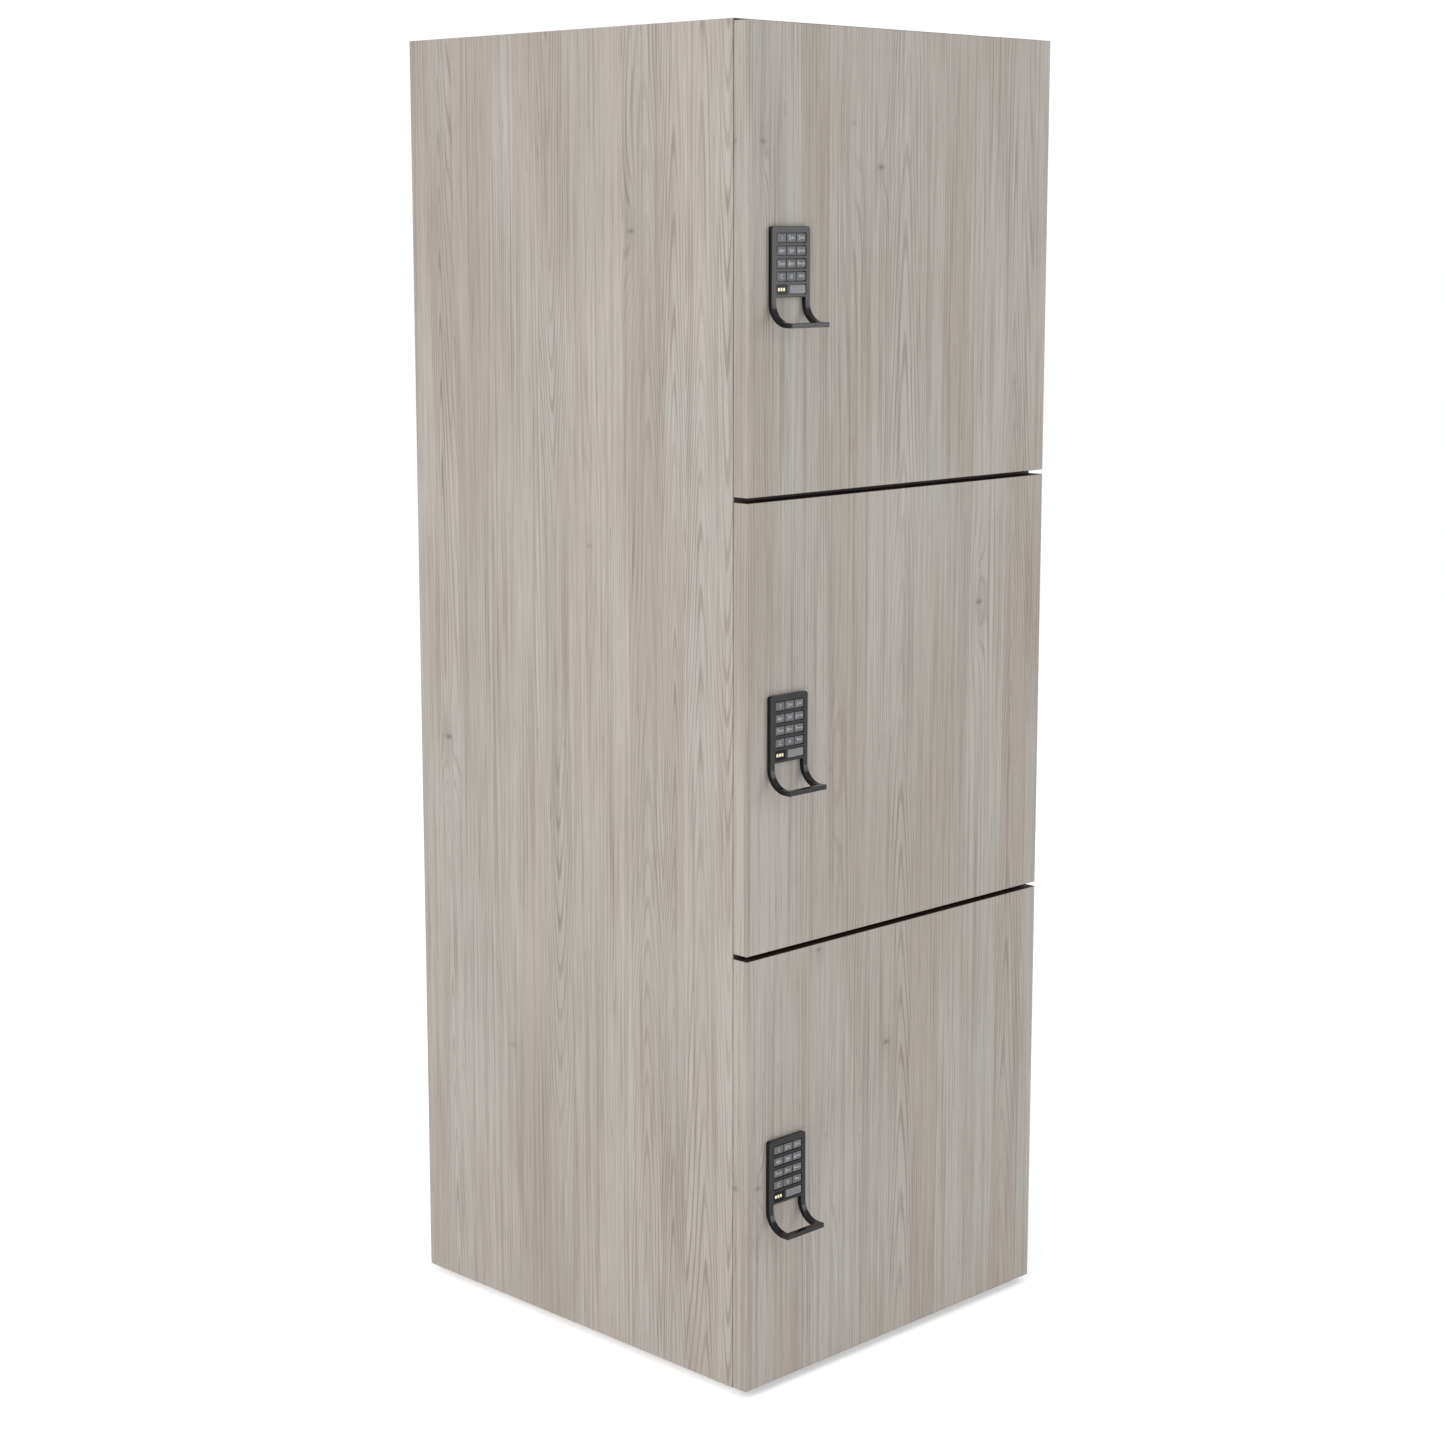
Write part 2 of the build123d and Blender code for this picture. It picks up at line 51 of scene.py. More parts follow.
side_low, side_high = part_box("left_side_panel")
right_low, right_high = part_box("right_side_panel")
door_low, door_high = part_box("door_1_panel")
next_door_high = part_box("door_2_panel")[1]
front = side_low.y
door_face = door_low.y
door_back = door_high.y
board = side_high.x - side_low.x

# sizes of the CAD parts that their boxes alone don't give
PLATE = 4.7 * MM
SLOT_INSET = 6.6 * MM
DISPLAY_MIDDLE_DROP = 60.35 * MM
DISPLAY_DEPTH = 1.2 * MM
HINGE_HEIGHT = 70 * MM
HINGE_SCREW_RISE = 22 * MM
FRAME_SCREW_SETBACK = 19 * MM
DOOR_SCREW_INSETS = (16 * MM, 34 * MM)
STRIKE_SCREW_PITCH = 46 * MM


# ---------------------------------------------------------------- material graphs

# sockets of a Mix node that blends colours
MIX_FACTOR, MIX_FIRST, MIX_SECOND = 0, 6, 7
MIX_RESULT = 2


class Graph:
    """A material's node tree, with short calls for the nodes used here."""

    def __init__(self, name):
        self.material = bpy.data.materials.new(name)
        self.material.use_nodes = True
        self.tree = self.material.node_tree
        self.shader = self.tree.nodes["Principled BSDF"]

    def put(self, socket, value):
        """Link a socket, or set its value."""
        if isinstance(value, bpy.types.NodeSocket):
            self.tree.links.new(value, socket)
        else:
            socket.default_value = value

    def surface(self, **inputs):
        """Set or link inputs of the surface shader; underscores in a name stand for spaces."""
        for key, value in inputs.items():
            self.put(self.shader.inputs[key.replace("_", " ")], value)

    def maths(self, operation, first, second=0.0, third=0.0, clamp=False):
        """One Math node on up to three sockets or numbers."""
        node = self.tree.nodes.new("ShaderNodeMath")
        node.operation = operation
        node.use_clamp = clamp
        for socket, value in zip(node.inputs, (first, second, third)):
            self.put(socket, value)
        return node.outputs[0]

    def place(self):
        """The object's own coordinates, split into x, y and z."""
        coordinates = self.tree.nodes.new("ShaderNodeTexCoord")
        split = self.tree.nodes.new("ShaderNodeSeparateXYZ")
        self.tree.links.new(coordinates.outputs["Object"], split.inputs[0])
        return split.outputs

    def point(self, x, y, z=0.0):
        """A vector of three sockets or numbers."""
        node = self.tree.nodes.new("ShaderNodeCombineXYZ")
        for socket, value in zip(node.inputs, (x, y, z)):
            self.put(socket, value)
        return node.outputs[0]

    def noise(self, where, scale=1.0, detail=2.0, roughness=0.5):
        """Smooth noise about 0.5, with features 1 / scale apart."""
        node = self.tree.nodes.new("ShaderNodeTexNoise")
        self.put(node.inputs["Vector"], where)
        node.inputs["Scale"].default_value = scale
        node.inputs["Detail"].default_value = detail
        node.inputs["Roughness"].default_value = roughness
        return node.outputs["Fac"]

    def steps(self, value, low, high, out_low=0.0, out_high=1.0, smooth=True):
        """Map a range of one value onto another range, clamped at both ends."""
        node = self.tree.nodes.new("ShaderNodeMapRange")
        node.interpolation_type = "SMOOTHSTEP" if smooth else "LINEAR"
        for key, number in (("From Min", low), ("From Max", high), ("To Min", out_low), ("To Max", out_high)):
            node.inputs[key].default_value = number
        self.put(node.inputs["Value"], value)
        return node.outputs[0]

    def mix(self, factor, first, second, blend="MIX"):
        """Blend two colours, each a socket or (red, green, blue)."""
        node = self.tree.nodes.new("ShaderNodeMix")
        node.data_type = "RGBA"
        node.blend_type = blend
        self.put(node.inputs[MIX_FACTOR], factor)
        self.put(node.inputs[MIX_FIRST], (*first, 1.0) if isinstance(first, tuple) else first)
        self.put(node.inputs[MIX_SECOND], (*second, 1.0) if isinstance(second, tuple) else second)
        return node.outputs[MIX_RESULT]

    def bump(self, height, distance, strength):
        """Raise the surface by a height field; distance is the height of 1, in metres."""
        node = self.tree.nodes.new("ShaderNodeBump")
        node.inputs["Strength"].default_value = strength
        node.inputs["Distance"].default_value = distance
        self.put(node.inputs["Height"], height)
        self.put(self.shader.inputs["Normal"], node.outputs[0])


# ---------------------------------------------------------------- wood-grain laminate

RING_PITCH = 4.6 * MM
RING_SHARPNESS = 6.0
STRIP = 43 * MM
STRIP_WANDER = 1.6
ARCHES_PER_METRE = 13.0
KNOT_SWELL = 3.0
KNOT_SPOT = (4.6 * MM, 2.4 * MM)
KNOT_HALO = (8 * MM, 22 * MM)
SPOT_STRENGTH = 0.7
HALO_STRENGTH = 0.22
CLOUD_STRENGTH = 0.55
STREAK_STRENGTH = 0.38
THREAD_STRENGTH = 0.46
RING_STRENGTH = 0.42
DASH_STRENGTH = 0.40
PORE_STRENGTH = 0.30
GRAIN_DEPTH = 0.07 * MM
ROSE = (0.372, 0.337, 0.306)
GREY = (0.352, 0.336, 0.308)
TAN = (0.315, 0.278, 0.243)
GRAIN = (0.150, 0.118, 0.095)
KNOT = (0.080, 0.060, 0.048)
# dark edge banding of the carcass, also used as painted shade on the doors' top and bottom edges in the gaps
# between doors
EDGE_BAND_AND_GAP_SHADE = (0.048, 0.033, 0.025)
# how far the painted gap shade reaches past the doors' ends onto their fronts
GAP_SHADE_REACH = 0.3 * MM


def bell(graph, across, along, middle_across, middle_along, half_across, half_along):
    """A smooth hump of height 1 about a place, fading to nothing around it."""
    dx = graph.maths("DIVIDE", graph.maths("SUBTRACT", across, middle_across), half_across)
    dz = graph.maths("DIVIDE", graph.maths("SUBTRACT", along, middle_along), half_along)
    square = graph.maths("ADD", graph.maths("MULTIPLY", dx, dx), graph.maths("MULTIPLY", dz, dz))
    return graph.maths("EXPONENT", graph.maths("MULTIPLY", square, -1.0))


def knot_field(graph, across, along, knots):
    """(ring shift, dark core) of a list of knots, each (across, along, reach, darkness)."""
    shift = 0.0
    core = 0.0
    for knot_across, knot_along, reach, dark in knots:
        swell = bell(graph, across, along, knot_across, knot_along, reach, reach * 5)
        shift = graph.maths("MULTIPLY_ADD", swell, KNOT_SWELL, shift)
        spot = bell(graph, across, along, knot_across, knot_along, *KNOT_SPOT)
        halo = bell(graph, across, along, knot_across, knot_along, *KNOT_HALO)
        core = graph.maths("MULTIPLY_ADD", spot, dark * SPOT_STRENGTH, core)
        core = graph.maths("MULTIPLY_ADD", halo, dark * HALO_STRENGTH, core)
    return shift, core


def door_gap_shade_mask(graph, z):
    """1 on the doors' top and bottom edges and on a thin line of their fronts beside each gap, by the distance
    from the middle of the nearest gap: where painted shade darkens the gaps between doors.
    """
    gap_middle = (door_low.z + next_door_high.z) / 2
    pitch = door_high.z - next_door_high.z
    reach = (door_low.z - next_door_high.z) / 2 + GAP_SHADE_REACH
    distance = graph.maths("PINGPONG", graph.maths("SUBTRACT", z, gap_middle), pitch / 2)
    return graph.maths("LESS_THAN", distance, reach)


def wood(name, flat=False, seed=0.0, knots=(), tone=1.0, painted_gap_shade=False):
    """Pale grey softwood laminate. The grain runs up the board, or along X where flat."""
    graph = Graph(name)
    x, y, z = graph.place()
    across = y if flat else graph.maths("ADD", x, y)
    along = x if flat else z

    def field(across_scale, along_scale, layer, detail=2.0, roughness=0.5):
        """Noise stretched along the grain; the scales are features per metre across and along it."""
        where = graph.point(
            graph.maths("MULTIPLY", across, across_scale),
            graph.maths("MULTIPLY", along, along_scale),
            seed + layer,
        )
        return graph.noise(where, detail=detail, roughness=roughness)

    # strips of different boards side by side, each with its own shade and figure
    edge = graph.maths("SUBTRACT", field(14.0, 0.35, 9.0, 1.0), 0.5)
    edge = graph.maths("MULTIPLY", edge, STRIP_WANDER)
    strips = graph.maths("ADD", graph.maths("DIVIDE", across, STRIP), edge)
    strip = graph.maths("FLOOR", strips)
    slow = graph.maths("MULTIPLY", along, 0.9)
    quick = graph.maths("MULTIPLY", along, 1.7)
    shade = graph.noise(graph.point(graph.maths("MULTIPLY", strip, 7.31), seed, slow))
    tint = graph.noise(graph.point(graph.maths("MULTIPLY", strip, 3.77), seed + 5.0, quick))
    lean = graph.noise(graph.point(graph.maths("MULTIPLY", strip, 5.13), seed + 9.0))
    kind = graph.noise(graph.point(graph.maths("MULTIPLY", strip, 9.71), seed + 13.0))

    # growth rings: straight lines, or in some strips stacked arches about the strip's middle
    shift, core = knot_field(graph, across, along, knots)
    figure = graph.steps(kind, 0.53, 0.55)
    middle = graph.maths("MULTIPLY_ADD", lean, 0.7, -0.85)
    inside = graph.maths("ADD", graph.maths("FRACT", strips), middle)
    reach = graph.maths("MULTIPLY", inside, STRIP / RING_PITCH)
    arch = graph.maths("SQRT", graph.maths("MULTIPLY_ADD", reach, reach, 1.0))
    slope = graph.steps(lean, 0.495, 0.505, -ARCHES_PER_METRE, ARCHES_PER_METRE)
    climb = graph.maths("MULTIPLY", along, slope)
    arches = graph.maths("MULTIPLY", graph.maths("ADD", arch, climb), figure)
    straight = graph.maths("MULTIPLY", reach, graph.maths("SUBTRACT", 1.0, figure))
    drift = graph.maths("MULTIPLY_ADD", figure, 4.0, 1.2)
    drift = graph.maths("MULTIPLY", field(15.0, 2.4, 1.0, 1.0, 0.3), drift)
    wobble = graph.maths("MULTIPLY", field(60.0, 4.0, 2.0), 0.8)
    rings = graph.maths("ADD", graph.maths("ADD", arches, straight), graph.maths("ADD", drift, wobble))
    rings = graph.maths("ADD", rings, shift)
    wave = graph.maths("SINE", graph.maths("MULTIPLY", rings, 2 * math.pi))
    line = graph.maths("POWER", graph.steps(wave, -1.0, 1.0), RING_SHARPNESS)
    patch = graph.steps(field(32.0, 3.2, 3.0, 3.0), 0.40, 0.66)
    line_strength = graph.maths("MULTIPLY_ADD", figure, 0.30, 0.06)
    line_strength = graph.maths("MULTIPLY_ADD", patch, 0.9, line_strength)
    late_wood = graph.maths("MULTIPLY", line, line_strength)

    # fibres and pores, from the finest to the broadest
    pores = graph.steps(field(2100.0, 55.0, 11.0, 1.0), 0.66, 0.76)
    fibre = field(1500.0, 16.0, 4.0, 2.0, 0.6)
    thread = field(520.0, 4.5, 10.0, 3.0, 0.7)
    dash = graph.steps(field(360.0, 22.0, 8.0, 1.0, 0.5), 0.70, 0.78)
    streak = field(150.0, 2.2, 5.0, 3.0, 0.65)
    cloud = field(14.0, 3.0, 7.0, 3.0, 0.55)

    colour = graph.mix(graph.steps(shade, 0.46, 0.60, 0.0, 0.8), ROSE, TAN)
    colour = graph.mix(graph.steps(tint, 0.40, 0.52, 0.6, 0.0), colour, GREY)
    colour = graph.mix(graph.steps(cloud, 0.38, 0.68, 0.0, CLOUD_STRENGTH), colour, TAN)
    colour = graph.mix(graph.steps(streak, 0.44, 0.74, 0.0, STREAK_STRENGTH), colour, GRAIN)
    colour = graph.mix(graph.steps(thread, 0.48, 0.74, 0.0, THREAD_STRENGTH), colour, GRAIN)
    colour = graph.mix(graph.maths("MULTIPLY", late_wood, RING_STRENGTH), colour, GRAIN)
    colour = graph.mix(graph.maths("MULTIPLY", dash, DASH_STRENGTH), colour, GRAIN)
    colour = graph.mix(graph.maths("MULTIPLY", core, 1.0, clamp=True), colour, KNOT)
    colour = graph.mix(graph.maths("MULTIPLY", pores, PORE_STRENGTH), colour, GRAIN)
    # tone scales the whole colour; the sides' tone above 1 is a painted highlight
    light = graph.steps(fibre, 0.25, 0.75, 0.93 * tone, 1.18 * tone, smooth=False)
    colour = graph.mix(1.0, colour, graph.point(light, light, light), "MULTIPLY")

    # painted shade: the doors' top and bottom edges and a thin line of their fronts take the dark edge colour,
    # where the gaps between doors fall in shade
    if painted_gap_shade:
        colour = graph.mix(door_gap_shade_mask(graph, z), colour, EDGE_BAND_AND_GAP_SHADE)
    threads = graph.maths("MULTIPLY", thread, 0.7)
    height = graph.maths("SUBTRACT", threads, graph.maths("MULTIPLY", late_wood, 0.5))
    graph.bump(height, GRAIN_DEPTH, 0.6)
    rough = graph.steps(streak, 0.3, 0.7, 0.46, 0.58)
    graph.surface(Base_Color=colour, Roughness=rough, Specular_IOR_Level=0.3)
    return graph.material


# ---------------------------------------------------------------- other materials


def speckled(name, colour, spread, roughness, grain, bump, metallic=0.0, specular=0.5):
    """Moulded, cast or coated surface: a fine speckle in colour, gloss and height."""
    graph = Graph(name)
    x, y, z = graph.place()
    where = graph.point(x, y, z)
    fine = graph.noise(where, scale=grain, detail=3.0)
    broad = graph.noise(where, scale=35.0, detail=2.0)
    dark = tuple(channel * (1 - spread) for channel in colour)
    pale = tuple(channel * (1 + spread) for channel in colour)
    tone = graph.mix(graph.steps(broad, 0.35, 0.65), dark, pale)
    rough = graph.steps(graph.maths("ADD", fine, broad), 0.7, 1.3, roughness * 0.86, roughness * 1.14)
    graph.bump(fine, bump, 0.5)
    graph.surface(Base_Color=tone, Roughness=rough, Metallic=metallic, Specular_IOR_Level=specular)
    return graph.material


def brushed(name, colour, roughness):
    """Steel with fine lines along Z, and faint blotches."""
    graph = Graph(name)
    x, y, z = graph.place()
    across = graph.maths("MULTIPLY", graph.maths("ADD", x, y), 2600.0)
    lines = graph.noise(graph.point(across, graph.maths("MULTIPLY", z, 60.0)))
    blotch = graph.noise(graph.point(x, y, z), scale=25.0)
    dark = tuple(channel * 0.88 for channel in colour)
    tone = graph.mix(graph.steps(graph.maths("ADD", lines, blotch), 0.6, 1.4), dark, colour)
    graph.bump(lines, 0.02 * MM, 0.5)
    rough = graph.steps(lines, 0.3, 0.7, roughness * 0.8, roughness * 1.3)
    graph.surface(Base_Color=tone, Roughness=rough, Metallic=1.0)
    return graph.material


def lamp_material():
    """Warm lit lens with a fine grain."""
    graph = Graph("lamp_warm_white")
    x, y, z = graph.place()
    glow = graph.noise(graph.point(x, y, z), scale=900.0)
    tone = graph.mix(graph.steps(glow, 0.3, 0.7), (0.66, 0.58, 0.34), (0.80, 0.74, 0.50))
    graph.surface(Base_Color=tone, Roughness=0.3, Emission_Strength=0.18)
    graph.put(graph.shader.inputs["Emission Color"], tone)
    return graph.material


def floor_material():
    """Pale floor, faintly clouded, lit a little from within so that it stays pale far away."""
    graph = Graph("pale_floor")
    x, y, z = graph.place()
    cloud = graph.noise(graph.point(x, y, z), scale=3.0)
    tone = graph.mix(cloud, (0.90, 0.90, 0.90), (0.94, 0.94, 0.94))
    graph.surface(Base_Color=tone, Roughness=0.8, Specular_IOR_Level=0.1, Emission_Strength=FLOOR_GLOW)
    graph.put(graph.shader.inputs["Emission Color"], tone)
    return graph.material


def side_knots():
    """Knots of the sides: (across, z, reach, darkness); across is x + y on the left side's face."""
    base = side_low.x
    return [
        (base + 0.222, 0.630, 0.014, 0.75),
        (base - 0.075, 1.180, 0.012, 0.55),
        (base - 0.010, 0.860, 0.018, 0.30),
        (base + 0.120, 0.300, 0.012, 0.35),
    ]


def door_knots():
    """Knots of the doors: (across, z, reach, darkness); across is x + y on the doors' faces."""
    base = door_low.x + door_face
    return [
        (base + 0.020, 1.265, 0.008, 0.50),
        (base + 0.190, 1.243, 0.010, 0.65),
        (base + 0.148, 1.285, 0.016, 0.30),
        (base + 0.352, 0.790, 0.010, 0.75),
        (base + 0.210, 0.335, 0.010, 0.70),
        (base + 0.118, 0.255, 0.020, 0.20),
        (base + 0.017, 0.222, 0.008, 0.55),
        (base + 0.105, 0.455, 0.008, 0.55),
        (base + 0.120, 0.640, 0.018, 0.20),
    ]


# arguments of speckled(): name, colour, its spread, roughness, speckles per metre, their height
MATERIALS = {
    # the sides are 4% lighter than the doors: a painted highlight for the light falling more on the left side
    "side_laminate": wood("laminate_sides", seed=3.0, knots=side_knots(), tone=1.04),
    # the doors get painted shade on their top and bottom edges, for the gaps between them
    "door_laminate": wood("laminate_doors", seed=11.0, knots=door_knots(), painted_gap_shade=True),
    "inside_laminate": wood("laminate_boards", flat=True, seed=23.0),
    "back_board": wood("laminate_back", seed=31.0, tone=0.95),
    "edge_band": speckled("edge_band_dark", EDGE_BAND_AND_GAP_SHADE, 0.2, 0.6, 900.0, 0.02 * MM),
    "hinge_steel": brushed("hinge_steel", (0.42, 0.42, 0.41), 0.36),
    "strike_steel": brushed("strike_steel", (0.46, 0.46, 0.45), 0.34),
    "bolt_steel": brushed("bolt_steel", (0.62, 0.62, 0.60), 0.25),
    "screw_steel": speckled("screw_zinc", (0.40, 0.40, 0.39), 0.15, 0.36, 1500.0, 0.01 * MM, metallic=1.0),
    "glide_nylon": speckled("glide_nylon", (0.03, 0.03, 0.03), 0.2, 0.5, 1200.0, 0.03 * MM),
    "lock_casting": speckled(
        "lock_black", (0.0045, 0.0045, 0.0047), 0.2, 0.20, 2200.0, 0.006 * MM, specular=0.34
    ),
    "rear_case": speckled("rear_case_plastic", (0.022, 0.022, 0.023), 0.15, 0.55, 1300.0, 0.04 * MM),
    "key_cap": speckled("key_grey", (0.090, 0.091, 0.093), 0.06, 0.48, 2500.0, 0.01 * MM),
    "key_legend": speckled("legend_ink", (0.46, 0.46, 0.47), 0.05, 0.5, 2500.0, 0.004 * MM),
    "display_window": speckled(
        "window_black", (0.003, 0.003, 0.003), 0.3, 0.12, 300.0, 0.001 * MM, specular=0.12
    ),
    "display_lamp": lamp_material(),
    "badge_plate": speckled("badge_grey", (0.17, 0.17, 0.172), 0.08, 0.42, 2200.0, 0.01 * MM, metallic=0.3),
}

for entry in frame["record"]["subparts"]:
    slots = nodes[entry["node"]].data.materials
    for index in range(max(1, len(slots))):
        if index < len(slots):
            slots[index] = MATERIALS[entry["material_slot"]]
        else:
            slots.append(MATERIALS[entry["material_slot"]])


# ---------------------------------------------------------------- mesh pieces

BAND_SETBACK = 1 * MM
BAND_THICKNESS = 0.3 * MM
BAND_GAP = 0.15 * MM
BAND_RADIUS = 0.1 * MM
SCREW_RADIUS = 3.8 * MM
STRIKE_SCREW_RADIUS = 3.6 * MM
SCREW_SINK = 0.08 * MM
SCREW_HEAD_DEPTH = 1.75 * MM
CROSS_DEPTH = 0.9 * MM
CROSS_TAPER = 0.8
SHANK_TAPER = 0.52
RIM_POINTS = 28
# parts of the head's radius
CROSS_ARM = 0.55
CROSS_HALF_WIDTH = 0.13


def finish_piece(name, mesh, slot, body):
    """Make an object of a bmesh, give it its material and let it ride on a body."""
    bmesh.ops.recalc_face_normals(mesh, faces=mesh.faces)
    data = bpy.data.meshes.new(name)
    mesh.to_mesh(data)
    mesh.free()
    data.materials.append(MATERIALS[slot])
    piece = bpy.data.objects.new(name, data)
    bpy.context.scene.collection.objects.link(piece)
    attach(piece, body)


def add_block(mesh, low, high, radius, segments=2):
    """Add a box with rounded edges between two corners."""
    low, high = Vector(low), Vector(high)
    made = bmesh.ops.create_cube(mesh, size=1.0)["verts"]
    centre = (low + high) / 2
    size = high - low
    for vertex in made:
        vertex.co = Vector(a * b for a, b in zip(vertex.co, size)) + centre
    edges = {edge for vertex in made for edge in vertex.link_edges}
    bmesh.ops.bevel(mesh, geom=list(edges), offset=radius, segments=segments, profile=0.5, affect="EDGES")


def add_screw(mesh, mouth, outward, radius=SCREW_RADIUS):
    """Add a countersunk screw head with a cross recess, its flat face just inside the mouth."""
    part = bmesh.new()
    arm, half = radius * CROSS_ARM, radius * CROSS_HALF_WIDTH
    turns = [2 * math.pi * i / RIM_POINTS for i in range(RIM_POINTS)]
    rim = [Vector((radius * math.cos(turn), radius * math.sin(turn), 0)) for turn in turns]
    corners = [(arm, -half), (arm, half), (half, half), (half, arm), (-half, arm), (-half, half),
               (-arm, half), (-arm, -half), (-half, -half), (-half, -arm), (half, -arm), (half, -half)]
    cross = [Vector((x, y, 0)) for x, y in corners]

    def loop(points):
        made = [part.verts.new(point) for point in points]
        return made, [part.edges.new((a, b)) for a, b in zip(made, made[1:] + made[:1])]

    rim_verts, rim_edges = loop(rim)
    cross_verts, cross_edges = loop(cross)
    bmesh.ops.triangle_fill(part, use_beauty=True, edges=rim_edges + cross_edges)
    depth = Vector((0, 0, -CROSS_DEPTH))
    floor_verts = [part.verts.new(v.co * CROSS_TAPER + depth) for v in cross_verts]
    for i in range(len(cross_verts)):
        j = (i + 1) % len(cross_verts)
        part.faces.new((cross_verts[i], cross_verts[j], floor_verts[j], floor_verts[i]))
    part.faces.new(floor_verts)
    sink = Vector((0, 0, -SCREW_HEAD_DEPTH))
    shank = [part.verts.new(v.co * SHANK_TAPER + sink) for v in rim_verts]
    for i in range(RIM_POINTS):
        j = (i + 1) % RIM_POINTS
        part.faces.new((rim_verts[i], shank[i], shank[j], rim_verts[j]))
    part.faces.new(shank)
    turn = Vector(outward).to_track_quat("Z", "Y").to_matrix().to_4x4()
    place = Matrix.Translation(Vector(mouth) - Vector(outward) * SCREW_SINK)
    part.transform(place @ turn)
    data = bpy.data.meshes.new("screw_part")
    part.to_mesh(data)
    part.free()
    mesh.from_mesh(data)
    bpy.data.meshes.remove(data)


def hinge_levels(door):
    """Middle heights of a door's lower and upper hinge."""
    low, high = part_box(f"door_{door}_hinge_leaves")
    return (low.z + HINGE_HEIGHT / 2, high.z - HINGE_HEIGHT / 2)


def make_edge_bands():
    """Dark bands on the carcass's front edges; the one on the right side stops at each hinge leaf."""
    mesh = bmesh.new()

    def strip(x_range, z_range):
        low = (x_range[0] + BAND_GAP, front - BAND_THICKNESS, z_range[0] + BAND_GAP)
        high = (x_range[1] - BAND_GAP, front, z_range[1] - BAND_GAP)
        add_block(mesh, low, high, BAND_RADIUS, 1)

    strip((side_low.x + BAND_SETBACK, side_high.x), (side_low.z, side_high.z))
    levels = [level for door in DOORS for level in hinge_levels(door)]
    stops = sorted(level + side * HINGE_HEIGHT / 2 for level in levels for side in (-1, 1))
    ends = [right_low.z, *stops, right_high.z]
    for low, high in zip(ends[0::2], ends[1::2]):
        strip((right_low.x, right_high.x - BAND_SETBACK), (low, high))
    middle = (side_high.x, right_low.x)
    for name in ("top_panel", "bottom_panel"):
        low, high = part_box(name)
        strip(middle, (low.z, high.z))
    low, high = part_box("fixed_shelves")
    strip(middle, (low.z, low.z + board))
    strip(middle, (high.z - board, high.z))
    finish_piece("carcass_edge_bands", mesh, "edge_band", "carcass")


def make_screws():
    """Screw heads of the hinges and the strike plates."""
    frame_leaf_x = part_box("hinge_frame_leaves")[0].x
    mesh = bmesh.new()
    for door in DOORS:
        for level in hinge_levels(door):
            for rise in (-HINGE_SCREW_RISE, 0.0, HINGE_SCREW_RISE):
                add_screw(mesh, (frame_leaf_x, front + FRAME_SCREW_SETBACK, level + rise), (-1, 0, 0))
    finish_piece("frame_hinge_screws", mesh, "screw_steel", "carcass")
    for door in DOORS:
        door_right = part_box(f"door_{door}_panel")[1].x
        mesh = bmesh.new()
        for level in hinge_levels(door):
            for inset in DOOR_SCREW_INSETS:
                for rise in (-HINGE_SCREW_RISE, HINGE_SCREW_RISE):
                    add_screw(mesh, (door_right - inset, door_back, level + rise), (0, 1, 0))
        finish_piece(f"door_{door}_hinge_screws", mesh, "screw_steel", f"door_{door}")
    strike_low, strike_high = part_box("strike_plates")
    strike_y = (strike_low.y + strike_high.y) / 2
    mesh = bmesh.new()
    for door in DOORS:
        bolt_low, bolt_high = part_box(f"lock_{door}_bolt")
        level = (bolt_low.z + bolt_high.z) / 2
        for side in (-1, 1):
            mouth = (strike_high.x, strike_y, level + side * STRIKE_SCREW_PITCH / 2)
            add_screw(mesh, mouth, (1, 0, 0), STRIKE_SCREW_RADIUS)
    finish_piece("strike_screws", mesh, "screw_steel", "carcass")


# ---------------------------------------------------------------- lock faces

LEGENDS = {
    "1": "", "2": "abc", "3": "def", "4": "ghi", "5": "jkl", "6": "mno",
    "7": "pqrs", "8": "tuv", "9": "wxyz", "0": "", "clear": "C", "enter": "",
}
DIGIT_SIZE = 5.4 * MM
LETTER_SIZE = 3.7 * MM
LEGEND_GAP = 0.5 * MM
DIGIT_DROP = 0.34
LETTER_DROP = 0.28
INK = 0.05 * MM

# key symbol, from the middle of its key
SYMBOL_SHIFT = 1.6 * MM
SYMBOL_RISE = 0.5 * MM
SYMBOL_RING = 1.25 * MM
SYMBOL_HOLE = 0.62 * MM
SYMBOL_POINTS = 20
SYMBOL_EDGE = 0.01 * MM
SHAFT_END = 2.9 * MM
SHAFT_HALF = 0.3 * MM
TEETH = (1.2 * MM, 2.3 * MM)
TOOTH_WIDTH = 0.55 * MM
TOOTH_DEPTH = 1.2 * MM

# name, material, left and right from the slot's left end, half height, recess and edge radius, in mm
DISPLAY_PLATES = (
    ("display_window", "display_window", 0.25, 14.6, 4.8, 0.35, 0.3),
    ("display_strip", "lock_casting", 15.1, 18.0, 3.9, 0.3, 0.25),
    ("badge_plate", "badge_plate", 18.5, 40.9, 4.0, 0.1, 0.3),
)
LAMP_COUNT = 3
LAMP_START = 2.4
LAMP_PITCH = 3.6
LAMP_SIZE = (2.6 * MM, 0.4 * MM, 3.2 * MM)
LAMP_RECESS = 0.2 * MM
LAMP_RADIUS = 0.15 * MM

FIXING_HEAD_HEIGHT = 2.2 * MM
COVER_MARGIN = 5 * MM
COVER_WIDTH = 52 * MM
COVER_HEIGHT = 31 * MM
COVER_SINK = 0.2 * MM
COVER_LIFT = 0.9 * MM
COVER_RADIUS = 0.35 * MM
RIB_COUNT = 5
RIB_START = 4.0
RIB_PITCH = 2.2
RIB_INSET = 17 * MM
RIB_FOOT = 0.7 * MM
RIB_LIFT = 1.5 * MM
RIB_THICKNESS = 1.0 * MM
RIB_RADIUS = 0.3 * MM


